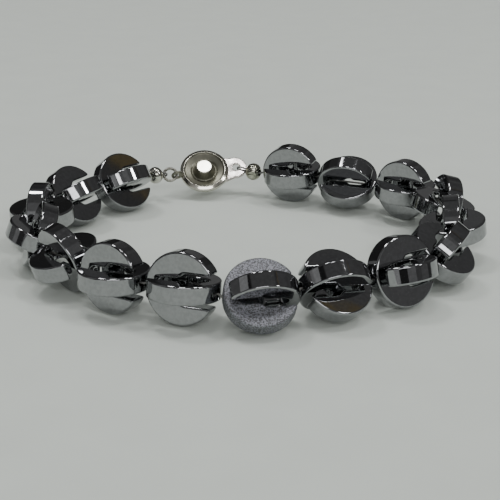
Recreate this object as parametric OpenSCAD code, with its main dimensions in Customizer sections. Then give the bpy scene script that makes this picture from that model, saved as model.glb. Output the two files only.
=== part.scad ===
// Bracelet of sixteen hematite beads, closed by a round press-stud clasp and lying flat.
// Each bead is two slotted discs that are pushed together at right angles, along the string.
// Millimetres. +Z is up and z = 0 is the surface that the bracelet lies on.
// The origin is the middle of the loop; the front beads are towards -Y, the clasp towards +Y.

/* [Discs] */
// Diameter of one hematite disc
disc_d = 10.2; // [9.8:0.1:10.3]
// Thickness of a disc
disc_t = 2.6; // [2.4:0.1:2.7]
// Solid bridge between the slot's closed end and the rim
bridge_w = 1.6; // [1.4:0.1:1.8]
// Width of the slot's inner half, just over a disc's thickness
slot_narrow = 2.8; // [2.8:0.05:3]
// Width of the slot's outer half, open at the rim
slot_wide = 4.4; // [4.2:0.1:4.8]
// Bevel round both edges of the rim
rim_bevel = 0.2; // [0.1:0.05:0.3]
// Hole drilled through the bridge for the thread
bore_d = 1.2; // [1.1:0.05:1.3]
// Distance along the string between the centres of a bead's two discs
disc_shift = 0.1; // [0:0.05:0.15]

/* [String] */
// Distance from one bead's centre to the next
bead_pitch = 10.55; // [10.55:0.05:10.8]
// Diameter of the thread
thread_d = 0.35; // [0.25:0.05:0.4]
// Room that the thread's middle keeps from the metal it loops over
loop_room = 0.45; // [0.4:0.05:0.5]

/* [Clasp] */
// Diameter of the dish
dish_d = 8.7; // [8.5:0.1:9]
// Width of the rim's sloping outer face, seen from the front
slope_w = 0.65; // [0.5:0.05:0.8]
// Angle by which the rim's outer face slopes back
slope_angle = 29; // [20:1:35]
// Height of the boss's flat top above the dish's own zero
boss_h = 1.05; // [0.8:0.05:1.2]
// Diameter of the boss at its top
boss_d = 2.85; // [2.6:0.05:3]
// How far the dish leans back from facing level
clasp_lean = 50; // [45:1:60]
// How far the dish turns to face left of square to the line between the string's ends
clasp_aside = 8; // [0:1:15]
// Turn of the dish in its own plane
dish_turn = 12; // [8:1:16]
// Turn of the tab in its own plane
tab_turn = 12; // [8:1:16]
// Diameter of the hole in the tab
tab_hole_d = 1.4; // [1.3:0.05:1.5]
// Wire of the ring and of the dish's eye
wire_d = 0.5; // [0.4:0.05:0.5]

/* [Silver beads] */
// Diameter of the small silver bead
small_d = 3; // [2.8:0.1:3.1]
// Length of the small silver bead
small_len = 2.1; // [1.9:0.1:2.2]
// Diameter of the large silver bead
large_d = 3.1; // [2.8:0.1:3.2]
// Length of the large silver bead
large_len = 2.7; // [2.5:0.1:2.8]

/* [Hidden] */
$fn = 48;
// How the loop lies, a row for each bead, walking from the clasp's left side round the front.
// Columns in degrees: the string's turn at the bead, the bead's swing away from the string's
// own direction there, its roll about the string, and how far its far end tips up.
LIE = [
    [25.3, 12, -57, 0],
    [24.8, 0, -57, -0.5],
    [28.1, 1.5, 90.3, -2.5],
    [21, -7, -22, 0],
    [17.4, 0, 106.9, 5],
    [21.2, -2, -4, 2],
    [10.2, -5, -9, 1],
    [31.9, 5, -48.5, 2],
    [4.5, 1.2, 40.9, -7],
    [24.7, -5.2, -17.6, 1],
    [22.6, 3, -55.5, 4.5],
    [16.8, 1.5, 82.2, 3.5],
    [29.6, -7, 14.9, 2],
    [33.1, 2, 89.2, 2.5],
    [3.4, 11, 58.2, 2],
    [17, -7, 85.7, -2]
];
bends = [for (row = LIE) row[0]];
swings = [for (row = LIE) row[1]];
rolls = [for (row = LIE) row[2]];
tips = [for (row = LIE) row[3]];
bead_n = len(LIE);
// Centre of the first bead, and the direction of the string as it comes to it from the clasp
first_bead = [-21.33, 21.56];
first_heading = -159.7;

disc_r = disc_d / 2;
bead_reach = disc_r + disc_shift / 2;
// The string holds a bead at least this high, also where its roll would let it drop lower
hang_z = disc_r - 0.2;
through = disc_d + 1;

// Small steps that make cuts run past a face, and gaps between pieces that touch
over = 0.01;
touch_gap = 0.1;

// Dish, in its own frame: +Z is out of its face, and z = 0 is just under the rim's crest
dish_r = dish_d / 2;
crest_r = dish_r - slope_w;
crest_z = 0.15;
edge_z = crest_z - slope_w * tan(slope_angle);
skirt_z = -0.85;
bowl_out = [crest_r - 0.2, -0.08];
bowl_in = [2.45, -0.38];
floor_r = 2.1;
floor_z = -0.62;
floor_t = 0.4;
boss_base = [1.9, -0.45];
boss_edge = 0.06;
socket_r = 1;
socket_top = boss_h - 0.5;
floor_under = floor_z - floor_t;
under_r = dish_r - 0.45;
// Eye soldered to the dish's edge, and the ring that hangs in it
eye_r = 0.85;
ring_r = 1.15;
wire_r = wire_d / 2;
eye_at = [-(dish_r + eye_r - wire_r), 0, -0.2];
ring_off = ring_r + 0.15;
ring_swing = 16;
ring_tip = 15;
// Back plate and tab, in the same frame
plate_r = 3.9;
plate_t = 0.5;
plate_z = floor_under - touch_gap - plate_t;
stud_r = socket_r - touch_gap;
tab_end_r = 2.15;
tab_end_x = 5.65;
tab_root_x = 2.5;
tab_root_half = 2.75;
tab_hole_x = 5.9;
tab_hole_r = tab_hole_d / 2;

// Where the clasp sits: along and outside the line from the first bead to the last
clasp_along = 15.05;
clasp_out = 5.35;
clasp_z = 5;

// Two strands of thread lie side by side in a silver bead
thread_r = thread_d / 2;
strand_off = thread_r + 0.05;
silver_bore_r = 0.6;
small_gap = 1.35;
large_gap = 1;
// How far the thread has sunk in the last bead's bore, and the large silver bead below that
exit_sag = [0, 0, 0.3];
large_sag = [0, 0, 0.15];
// Side of the tab's hole that the thread pulls on, from the tab's own direction
tab_pull_turn = -34;
thread_sides = 8;
loop_steps = 8;
loop_arc = 138;

function bend_before(i) = i == 0 ? 0 : bend_before(i - 1) + bends[i - 1];
function heading_in(i) = first_heading + bend_before(i);
function unit2(a) = [cos(a), sin(a)];
function bead_xy(i) = i == 0 ? first_bead : bead_xy(i - 1) + bead_pitch * unit2(heading_in(i));
function bead_yaw(i) = heading_in(i) + bends[i] / 2 + swings[i];
// Height of the centre of a disc that touches the surface, from how much of the disc's own
// axis points up: 0 for a disc that stands on edge, 1 for one that lies flat
function lean_height(upright) =
    let (flat = abs(upright), steep = sqrt(1 - flat * flat))
    max(disc_r * steep + (disc_t / 2 - rim_bevel) * flat,
        (disc_r - rim_bevel) * steep + disc_t / 2 * flat);
function bead_z(i) = max(hang_z, disc_shift / 2 * abs(sin(tips[i]))
    + max(lean_height(sin(rolls[i]) * cos(tips[i])), lean_height(cos(rolls[i]) * cos(tips[i]))));
function bead_at(i) = [bead_xy(i).x, bead_xy(i).y, bead_z(i)];
function along(i) = [cos(tips[i]) * cos(bead_yaw(i)), cos(tips[i]) * sin(bead_yaw(i)), sin(tips[i])];

// Clasp's place: chord is the line from the first bead to the last
chord = bead_xy(bead_n - 1) - bead_xy(0);
chord_dir = chord / norm(chord);
clasp_xy = bead_xy(0) + clasp_along * chord_dir + clasp_out * [-chord_dir.y, chord_dir.x];
clasp_at = [clasp_xy.x, clasp_xy.y, clasp_z];
clasp_yaw = atan2(chord_dir.y, chord_dir.x) - clasp_aside;

// A direction of the clasp's own frame, turned by spin in its plane, in the bracelet's frame
function tilt_x(v) = [v.x, v.y * sin(clasp_lean) - v.z * cos(clasp_lean),
    v.y * cos(clasp_lean) + v.z * sin(clasp_lean)];
function turn_z(v, a) = [v.x * cos(a) - v.y * sin(a), v.x * sin(a) + v.y * cos(a), v.z];
function clasp_dir(v, spin) = turn_z(tilt_x(turn_z(v, spin)), clasp_yaw);

// Ends of the string: where it leaves the last bead's bore, and the metal that it loops over
function unit3(v) = v / norm(v);
first_exit = bead_at(0) - (bead_reach + touch_gap) * along(0);
last_exit = bead_at(bead_n - 1) + (bead_reach + touch_gap) * along(bead_n - 1) - exit_sag;
ring_pull = clasp_dir([1, 0, 0], dish_turn - ring_swing);
ring_hold = clasp_at + clasp_dir(eye_at, dish_turn) - (ring_off + ring_r) * ring_pull;
tab_strip = (tab_end_x + tab_end_r - tab_hole_x - tab_hole_r) / 2;
tab_pull = clasp_dir([-1, 0, 0], tab_turn + tab_pull_turn);
tab_hold = clasp_at + clasp_dir([tab_hole_x, 0, plate_z + plate_t / 2], tab_turn)
    - (tab_hole_r + tab_strip) * tab_pull;
small_dir = unit3(ring_hold - first_exit);
small_at = first_exit + (small_gap + small_len / 2) * small_dir;
large_at = last_exit + (large_gap + large_len / 2) * unit3(tab_hold - last_exit)
    - large_sag;
large_dir = unit3(tab_hold - large_at);

// Thread's route: a loop at each end, and straight through every bead between them.
// end_loop gives a strand that runs out of a silver bead, round the metal at hold and back in.
// It goes round in the plane of into and out, an oval with half axes r_into and r_out.
function end_loop(at, dir, half, hold, into, out, r_into, r_out) =
    let (face = at + half * dir, rise = strand_off * out)
    [
        at + rise,
        face + rise,
        for (k = [0 : loop_steps])
            let (a = loop_arc - 2 * loop_arc * k / loop_steps)
            hold + r_into * cos(a) * into + r_out * sin(a) * out,
        face - rise,
        at - 0.8 * rise,
        at - (half + 0.1) * dir
    ];
function reversed(list) = [for (k = [len(list) - 1 : -1 : 0]) list[k]];
clasp_out_dir = clasp_dir([0, 0, 1], dish_turn);
small_loop = end_loop(small_at, small_dir, small_len / 2, ring_hold, ring_pull, clasp_out_dir,
    wire_r + 0.7 * loop_room, wire_r + 0.7 * loop_room);
large_loop = end_loop(large_at, large_dir, large_len / 2, tab_hold, tab_pull, clasp_out_dir,
    tab_strip + loop_room, plate_t / 2 + loop_room);
// Between two beads it slants from one bore's mouth towards the other's
function mouth(i, side) = bead_at(i) + side * bead_reach * along(i);
function toward(i, side) =
    let (next = i + side, from = mouth(i, side))
    next < 0 ? from : next == bead_n ? from - exit_sag
        : from + 0.35 * (mouth(next, -side) - from);
bead_run = [
    for (i = [0 : bead_n - 1])
        for (point = [
            toward(i, -1),
            bead_at(i) - (bead_reach - bridge_w - touch_gap) * along(i),
            bead_at(i) + (bead_reach - bridge_w - touch_gap) * along(i),
            toward(i, 1)
        ])
            point
];
route = concat(small_loop, [first_exit], bead_run, [last_exit], reversed(large_loop));

function disc_name(i, half) = str("bead_", i < 10 ? "0" : "", i, "_disc_", half);

// Round blank of a disc, with a bevel on both edges
module disc_blank() {
    half = disc_t / 2;
    rotate_extrude()
        polygon([[0, -half], [disc_r - rim_bevel, -half], [disc_r, rim_bevel - half],
            [disc_r, half - rim_bevel], [disc_r - rim_bevel, half], [0, half]]);
}

// Slot seen from the disc's face: closed and narrow towards -X, wide and open towards +X.
// The step between the two widths is an S of two quarter rounds on each side.
module slot_outline() {
    narrow = slot_narrow / 2;
    wide = slot_wide / 2;
    step_r = (wide - narrow) / 2;
    end_x = bridge_w - disc_r + narrow;
    translate([end_x, 0]) circle(r = narrow);
    translate([end_x, -narrow]) square([-end_x + over, slot_narrow]);
    translate([step_r, -wide]) square([disc_d, slot_wide]);
    translate([0, step_r - wide]) square([disc_r, slot_wide - 2 * step_r]);
    for (side = [-1, 1]) {
        translate([step_r, side * (wide - step_r)]) circle(r = step_r);
        difference() {
            translate([-step_r, side * narrow + (side - 1) / 2 * step_r])
                square([step_r + over, step_r]);
            translate([-step_r, side * (narrow + step_r)]) circle(r = step_r);
        }
    }
}

module slotted_disc() {
    difference() {
        disc_blank();
        translate([0, 0, -disc_t]) linear_extrude(2 * disc_t) slot_outline();
        translate([-through, 0, 0]) rotate([0, 90, 0]) cylinder(h = through, d = bore_d);
    }
}

// Disc a of a bead stands on edge with its bridge first; disc b lies flat with its bridge last
module bead_disc(i, half) {
    color([0.29, 0.3, 0.32])
        translate(bead_at(i)) rotate([rolls[i], -tips[i], bead_yaw(i)])
            if (half == "a") translate([-disc_shift / 2, 0, 0]) rotate([90, 0, 0]) slotted_disc();
            else translate([disc_shift / 2, 0, 0]) rotate([0, 0, 180]) slotted_disc();
}

// Tube along a list of points: rings across it, joined side by side, with flat ends
module tube(path, r, sides) {
    last = len(path) - 1;
    rings = [
        for (i = [0 : last])
            let (
                ahead = unit3(path[min(i + 1, last)] - path[max(i - 1, 0)]),
                across = unit3(cross([0, 0, 1], ahead)),
                upward = cross(ahead, across)
            )
            for (k = [0 : sides - 1])
                path[i] + r * (cos(360 * k / sides) * across + sin(360 * k / sides) * upward)
    ];
    walls = [
        for (i = [0 : last - 1]) for (k = [0 : sides - 1])
            let (a = i * sides + k, b = i * sides + (k + 1) % sides)
            [a, a + sides, b + sides, b]
    ];
    start_cap = [for (k = [0 : sides - 1]) k];
    end_cap = [for (k = [sides - 1 : -1 : 0]) last * sides + k];
    polyhedron(rings, concat(walls, [start_cap, end_cap]));
}

module thread() {
    color([0.6, 0.6, 0.58]) tube(route, thread_r, thread_sides);
}

// Silver bead with a half-round rim, drilled along dir
module silver_bead(at, dir, d, len) {
    plan = norm([dir.x, dir.y]);
    color("silver")
        translate(at) rotate([0, atan2(plan, dir.z), atan2(dir.y, dir.x)])
            rotate_extrude() difference() {
                translate([(d - len) / 2, 0]) circle(d = len);
                translate([silver_bore_r - d, -len]) square([d, 2 * len]);
            }
}

module bead_silver_small() { silver_bead(small_at, small_dir, small_d, small_len); }
module bead_silver_large() { silver_bead(large_at, large_dir, large_d, large_len); }

// Places a piece of the clasp: drawn flat with its face up, leaned back and turned to the string
module at_clasp(spin) {
    translate(clasp_at) rotate([90 - clasp_lean, 0, clasp_yaw]) rotate([0, 0, spin]) children();
}

module wire_loop(r) {
    rotate_extrude() translate([r, 0]) circle(r = wire_r);
}

// Pressed dish with a sloping rim and a hollow boss, and the eye soldered to its edge
module clasp_dish() {
    color([0.72, 0.71, 0.68])
        at_clasp(dish_turn) {
            rotate_extrude()
                polygon([
                    [socket_r, floor_under], [under_r, floor_under], [dish_r, skirt_z],
                    [dish_r, edge_z], [crest_r, crest_z], bowl_out, bowl_in,
                    [floor_r, floor_z], boss_base, [boss_d / 2, boss_h - boss_edge],
                    [boss_d / 2 - boss_edge, boss_h], [0, boss_h],
                    [0, socket_top], [socket_r, socket_top]
                ]);
            translate(eye_at) rotate([90, 0, 0]) wire_loop(eye_r);
        }
}

// Back half: round plate with a stud for the dish's boss, and the pear-shaped tab
module clasp_tab() {
    // Half angle of the tab's taper, and where its straight edge meets its round end
    run = tab_end_x - tab_root_x;
    span = norm([run, tab_root_half]);
    edge = asin(tab_end_r / span) - atan2(tab_root_half, run);
    meet = [tab_end_x + tab_end_r * sin(edge), tab_end_r * cos(edge)];
    color([0.8, 0.79, 0.77])
        at_clasp(tab_turn)
            difference() {
                union() {
                    translate([0, 0, plate_z]) linear_extrude(plate_t) {
                        circle(r = plate_r);
                        translate([tab_end_x, 0]) circle(r = tab_end_r);
                        polygon([[tab_root_x, -tab_root_half], [meet.x, -meet.y],
                            [meet.x, meet.y], [tab_root_x, tab_root_half]]);
                    }
                    translate([0, 0, plate_z])
                        cylinder(h = socket_top - touch_gap - plate_z, r = stud_r);
                }
                translate([tab_hole_x, 0, plate_z - over])
                    cylinder(h = plate_t + 2 * over, r = tab_hole_r);
            }
}

module wire_ring() {
    color([0.55, 0.55, 0.5])
        at_clasp(dish_turn) translate(eye_at) rotate([0, 0, -ring_swing]) rotate([ring_tip, 0, 0])
            translate([-ring_off, 0, 0]) wire_loop(ring_r);
}

for (i = [0 : bead_n - 1]) {
    bead_disc(i, "a");
    bead_disc(i, "b");
}
thread();
bead_silver_small();
bead_silver_large();
wire_ring();
clasp_dish();
clasp_tab();
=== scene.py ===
"""Looks of a hematite bracelet: beads of two slotted discs each, on a string with a clasp.

Everything is made in millimetres in the bracelet's own frame, and put into meshes in metres.
"""

import logging
import math
from dataclasses import dataclass, field
from enum import Enum

import bpy
import numpy as np
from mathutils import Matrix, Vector


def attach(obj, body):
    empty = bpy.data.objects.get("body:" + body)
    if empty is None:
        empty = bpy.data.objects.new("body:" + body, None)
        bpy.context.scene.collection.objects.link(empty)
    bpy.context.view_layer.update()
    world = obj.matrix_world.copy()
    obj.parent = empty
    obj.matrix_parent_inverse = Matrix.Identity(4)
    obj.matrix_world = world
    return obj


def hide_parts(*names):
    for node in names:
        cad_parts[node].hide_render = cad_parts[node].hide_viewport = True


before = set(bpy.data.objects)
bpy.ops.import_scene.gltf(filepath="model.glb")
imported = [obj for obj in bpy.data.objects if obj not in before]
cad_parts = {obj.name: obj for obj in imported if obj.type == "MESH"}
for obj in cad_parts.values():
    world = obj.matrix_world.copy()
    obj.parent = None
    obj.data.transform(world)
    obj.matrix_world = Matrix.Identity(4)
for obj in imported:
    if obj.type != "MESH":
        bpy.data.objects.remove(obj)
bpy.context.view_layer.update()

LOG = logging.getLogger("bracelet")
# Name of the number that a piece's points carry for its finish; where it is 0 the finish paints
# shade
MARK = "polished"
# Millimetres to metres
MM = 0.001
# Nearly straight up, and parallel to no path that a section is carried along
ALMOST_UP = (0.013, 0.007, 1.0)


# Vectors and turns


def unit(v: np.ndarray) -> np.ndarray:
    """Scale a vector, or each row of an array, to length one."""
    return v / np.linalg.norm(v, axis=-1, keepdims=True)


def turn(axis: str, degrees: float) -> np.ndarray:
    """Give the 3 by 3 matrix of a right-handed turn about X, Y or Z.

    Args:
        axis: "x", "y" or "z".
        degrees: Angle of the turn.

    Returns:
        The matrix, to multiply column vectors.
    """
    a = math.radians(degrees)
    c, s = math.cos(a), math.sin(a)
    i, j = {"x": (1, 2), "y": (2, 0), "z": (0, 1)}[axis]
    m = np.eye(3)
    m[i, i] = m[j, j] = c
    m[i, j], m[j, i] = -s, s
    return m


@dataclass(frozen=True)
class Place:
    """A turn and a shift that bring a shape from its own frame to the bracelet's."""

    rotation: np.ndarray
    origin: np.ndarray

    def points(self, p: np.ndarray) -> np.ndarray:
        """Bring points to the bracelet's frame."""
        return p @ self.rotation.T + self.origin

    def directions(self, d: np.ndarray) -> np.ndarray:
        """Bring directions to the bracelet's frame."""
        return d @ self.rotation.T

    def at(self, x: float, y: float = 0.0, z: float = 0.0) -> np.ndarray:
        """Give where this frame's point x, y, z is in the bracelet's frame."""
        return self.points(np.array([x, y, z], float))

    def then_inside(self, rotation: np.ndarray, x: float, y: float = 0.0,
                    z: float = 0.0) -> "Place":
        """Give the place of a frame that is shifted and then turned inside this one."""
        return Place(self.rotation @ rotation, self.at(x, y, z))


# Surfaces


def grid_faces(index: np.ndarray, close_first: bool = False,
               close_second: bool = False) -> np.ndarray:
    """Give the quads of a grid of vertex numbers.

    Args:
        index: Vertex numbers, first parameter down and second across.
        close_first: Joins the last row to the first.
        close_second: Joins the last column to the first.

    Returns:
        Rows of four vertex numbers. They face the first direction crossed with the second.
    """
    if close_first:
        index = np.vstack([index, index[:1]])
    if close_second:
        index = np.hstack([index, index[:, :1]])
    corners = [index[:-1, :-1], index[1:, :-1], index[1:, 1:], index[:-1, 1:]]
    return np.stack(corners, axis=-1).reshape(-1, 4)


def numbered(rows: int, columns: int, start: int = 0) -> np.ndarray:
    """Give a grid's vertex numbers, row by row from a first number."""
    return np.arange(start, start + rows * columns).reshape(rows, columns)


def resampled(line: np.ndarray, stations: np.ndarray) -> np.ndarray:
    """Give the points of a polyline at these distances along it.

    Args:
        line: The polyline's points.
        stations: Distances from its first point, in millimetres.

    Returns:
        One point for each distance.
    """
    steps = np.linalg.norm(np.diff(line, axis=0), axis=1)
    along = np.concatenate([[0.0], np.cumsum(steps)])
    return np.stack([np.interp(stations, along, line[:, k]) for k in range(line.shape[1])], axis=1)


def softened(outline: np.ndarray, reach: float, count: int = 2400) -> np.ndarray:
    """Round the corners of a closed outline by a moving Gaussian average along it.

    Args:
        outline: Corner points in order, the last one joined to the first.
        reach: The Gaussian's standard deviation, in millimetres along the outline.
        count: Points of the result, evenly spaced.

    Returns:
        The rounded outline.
    """
    ring = np.vstack([outline, outline[:1]])
    length = np.linalg.norm(np.diff(ring, axis=0), axis=1).sum()
    even = resampled(ring, np.linspace(0, length, count + 1)[:-1])
    steps = np.arange(count)
    away = np.minimum(steps, count - steps) * length / count
    weight = np.exp(-0.5 * (away / reach) ** 2)
    weight /= weight.sum()
    return np.fft.ifft(np.fft.fft(even, axis=0) * np.fft.fft(weight)[:, None], axis=0).real


def side_normals(outline: np.ndarray) -> np.ndarray:
    """Give the outward unit normals of a closed outline that runs anticlockwise."""
    tangent = unit(np.roll(outline, -1, axis=0) - np.roll(outline, 1, axis=0))
    return np.stack([tangent[:, 1], -tangent[:, 0]], axis=1)


def arc(centre: tuple[float, float], radius: float, start: float, end: float,
        count: int) -> np.ndarray:
    """Give points of a circle's arc, from one angle to another in degrees."""
    a = np.radians(np.linspace(start, end, count))
    return np.stack([centre[0] + radius * np.cos(a), centre[1] + radius * np.sin(a)], axis=1)


@dataclass
class Shape:
    """Points in millimetres, faces, and where they are known the exact normals of the points."""

    points: np.ndarray
    faces: list[np.ndarray]
    normals: np.ndarray | None = None

    def placed(self, place: Place) -> "Shape":
        """Give this shape brought to a place."""
        normals = None if self.normals is None else place.directions(self.normals)
        return Shape(place.points(self.points), self.faces, normals)

    def joined(self, other: "Shape") -> "Shape":
        """Give one shape of this one and another as separate closed shells, without normals."""
        faces = self.faces + [f + len(self.points) for f in other.faces]
        return Shape(np.vstack([self.points, other.points]), faces)

    def piece(self, name: str, material: bpy.types.Material) -> bpy.types.Object:
        """Make the mesh object, smooth shaded, at the origin.

        Args:
            name: The piece's name.
            material: Its finish.

        Returns:
            The new object.
        """
        mesh = bpy.data.meshes.new(name)
        loops = np.concatenate([f.ravel() for f in self.faces])
        sizes = np.concatenate([np.full(len(f), f.shape[1]) for f in self.faces])
        mesh.vertices.add(len(self.points))
        mesh.vertices.foreach_set("co", (self.points * MM).astype(np.float32).ravel())
        mesh.loops.add(len(loops))
        mesh.loops.foreach_set("vertex_index", loops.astype(np.int32))
        mesh.polygons.add(len(sizes))
        starts = np.concatenate([[0], np.cumsum(sizes)[:-1]])
        mesh.polygons.foreach_set("loop_start", starts.astype(np.int32))
        mesh.polygons.foreach_set("use_smooth", np.ones(len(sizes), bool))
        mesh.update(calc_edges=True)
        if self.normals is not None:
            mesh.normals_split_custom_set_from_vertices(unit(self.normals).tolist())
        mesh.materials.append(material)
        made = bpy.data.objects.new(name, mesh)
        bpy.context.scene.collection.objects.link(made)
        return made


def turned(profile: np.ndarray, count: int = 96) -> Shape:
    """Carry a profile round the Z axis.

    Args:
        profile: Rows of distance from the axis and height. The first and last rows lie on the
            axis, and the profile runs so that its left side is inside, from bottom to top.
        count: Steps of the turn.

    Returns:
        The closed shape, with one point at each pole.
    """
    ring = profile[1:-1]
    a = np.linspace(0, 2 * np.pi, count, endpoint=False)
    x = np.outer(np.cos(a), ring[:, 0])
    y = np.outer(np.sin(a), ring[:, 0])
    z = np.tile(ring[:, 1], (count, 1))
    body = np.stack([x, y, z], axis=-1).reshape(-1, 3)
    poles = np.array([[0, 0, profile[0, 1]], [0, 0, profile[-1, 1]]])
    index = numbered(count, len(ring))
    low, high = len(body), len(body) + 1
    after = np.roll(index, -1, axis=0)
    caps = np.vstack([
        np.stack([np.full(count, low), after[:, 0], index[:, 0]], axis=1),
        np.stack([np.full(count, high), index[:, -1], after[:, -1]], axis=1),
    ])
    return Shape(np.vstack([body, poles]), [grid_faces(index, close_first=True), caps])


def swept(path: np.ndarray, section: np.ndarray, spin: np.ndarray | None = None,
          closed: bool = False) -> Shape:
    """Carry a closed section along a path.

    Across is level and square to the path, and up is square to both. Each point of the body is
    the path's point plus the section's two numbers times across and up.

    Args:
        path: Points of the path.
        section: Rows of across and up, anticlockwise.
        spin: Extra turn of the section at each point, in radians.
        closed: Joins the path's end to its start, instead of closing both ends with a point.

    Returns:
        The closed shape.
    """
    if closed:
        ahead = unit(np.roll(path, -1, axis=0) - np.roll(path, 1, axis=0))
    else:
        ahead = unit(np.gradient(path, axis=0))
    across = unit(np.cross(np.broadcast_to(ALMOST_UP, ahead.shape), ahead))
    up = np.cross(ahead, across)
    angle = np.zeros(len(path)) if spin is None else spin
    c, s = np.cos(angle)[:, None], np.sin(angle)[:, None]
    side = section[:, 0] * c - section[:, 1] * s
    rise = section[:, 0] * s + section[:, 1] * c
    offset = side[..., None] * across[:, None, :] + rise[..., None] * up[:, None, :]
    body = path[:, None, :] + offset
    count, around = len(path), len(section)
    index = numbered(count, around)
    points = body.reshape(-1, 3)
    if closed:
        return Shape(points, [grid_faces(index, True, True)[:, ::-1]])
    faces = [grid_faces(index, close_second=True)[:, ::-1]]
    ends = []
    for row, pole, flip in ((index[0], len(points), 1), (index[-1], len(points) + 1, -1)):
        ring = row[::flip]
        ends.append(np.stack([np.full(around, pole), np.roll(ring, -1), ring], axis=1))
    points = np.vstack([points, path[:1], path[-1:]])
    return Shape(points, faces + [np.vstack(ends)])


def circle(radius: float, count: int) -> np.ndarray:
    """Give a circle's points about the origin, anticlockwise."""
    return arc((0, 0), radius, 0, 360 * (1 - 1 / count), count)


# Finishes

Colour = tuple[float, float, float]
Socket = bpy.types.NodeSocket


class Nodes:
    """Adds shader nodes to one tree and joins them."""

    def __init__(self, tree: bpy.types.NodeTree) -> None:
        """Take the tree."""
        self.tree = tree

    def feed(self, node: bpy.types.Node, inputs: dict) -> None:
        """Fill a node's inputs.

        Args:
            node: The node.
            inputs: By name or number, the value of an input, or the output that is joined to it.
        """
        for key, value in inputs.items():
            if isinstance(value, Socket):
                self.tree.links.new(value, node.inputs[key])
            else:
                node.inputs[key].default_value = value

    def node(self, kind: str, inputs: dict) -> bpy.types.Node:
        """Add a node.

        Args:
            kind: Its type, without the ShaderNode in front.
            inputs: What its inputs are filled with.

        Returns:
            The node.
        """
        node = self.tree.nodes.new(f"ShaderNode{kind}")
        self.feed(node, inputs)
        return node

    def spread(self, value: Socket, low: float, high: float, to_low: float = 0.0,
               to_high: float = 1.0, form: str = "LINEAR") -> Socket:
        """Map a value's range to another one, clamped.

        Args:
            value: The value.
            low: Where its range starts.
            high: Where its range ends.
            to_low: What the start becomes.
            to_high: What the end becomes.
            form: How it goes from one to the other.

        Returns:
            The mapped value.
        """
        ranges = {"From Min": low, "From Max": high, "To Min": to_low, "To Max": to_high}
        node = self.node("MapRange", {"Value": value, **ranges})
        node.interpolation_type = form
        return node.outputs["Result"]

    def ramp(self, value: Socket, stops: list[tuple[float, Colour]],
             form: str = "LINEAR") -> Socket:
        """Turn a value into a colour.

        Args:
            value: The value.
            stops: Places on the ramp in order, with the colour at each.
            form: How it goes from one to the next.

        Returns:
            The colour.
        """
        node = self.node("ValToRGB", {"Fac": value})
        node.color_ramp.interpolation = form
        elements = node.color_ramp.elements
        for number, (place, colour) in enumerate(stops):
            stop = elements[number] if number < 2 else elements.new(place)
            stop.position, stop.color = place, (*colour, 1)
        return node.outputs["Color"]

    def blend(self, share: Socket, first: Socket, second: Socket) -> Socket:
        """Mix two colours.

        Args:
            share: How much of the second there is, from 0 to 1.
            first: The first colour.
            second: The second colour.

        Returns:
            The mixed colour.
        """
        node = self.node("Mix", {})
        node.data_type = "RGBA"
        coloured = [number for number, s in enumerate(node.inputs) if s.type == "RGBA"]
        self.feed(node, {"Factor": share, **dict(zip(coloured, (first, second)))})
        return next(s for s in node.outputs if s.type == "RGBA")


class MaterialNodes(Nodes):
    """Adds shader nodes to a new material that has a Principled shader."""

    def __init__(self, name: str) -> None:
        """Start the material.

        Args:
            name: The material's name.
        """
        self.material = bpy.data.materials.new(name)
        self.material.use_nodes = True
        super().__init__(self.material.node_tree)
        self.shader = self.tree.nodes["Principled BSDF"]
        self.place = self.node("TexCoord", {}).outputs["Object"]

    def noise(self, size: float, detail: float = 2.0) -> Socket:
        """Add noise with blotches of a size in millimetres, and finer levels laid over them."""
        inputs = {"Vector": self.place, "Scale": 1000 / size, "Detail": detail}
        return self.node("TexNoise", inputs).outputs["Fac"]

    def cells(self, size: float) -> Socket:
        """Give the distance to the nearest of points scattered a size in millimetres apart."""
        inputs = {"Vector": self.place, "Scale": 1000 / size}
        return self.node("TexVoronoi", inputs).outputs["Distance"]

    def mark(self, name: str) -> Socket:
        """Read a number that the piece's own points carry.

        Args:
            name: The number's name.

        Returns:
            The number.
        """
        node = self.node("Attribute", {})
        node.attribute_name = name
        return node.outputs["Fac"]

    def relief(self, heights: list[tuple[Socket, float]]) -> Socket:
        """Lay several height fields over each other.

        Args:
            heights: Each field with its height in millimetres.

        Returns:
            The normal of the relief.
        """
        below = {}
        for value, height in heights:
            inputs = {"Distance": height * MM, "Height": value, **below}
            below = {"Normal": self.node("Bump", inputs).outputs["Normal"]}
        return below["Normal"]

    def finished(self, inputs: dict) -> bpy.types.Material:
        """Fill the shader's inputs and give the material."""
        self.feed(self.shader, inputs)
        return self.material


class Polish(Enum):
    """How finely a hematite disc's faces came out."""

    MIRROR = "mirror"
    SPECKLED = "speckled"


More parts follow.
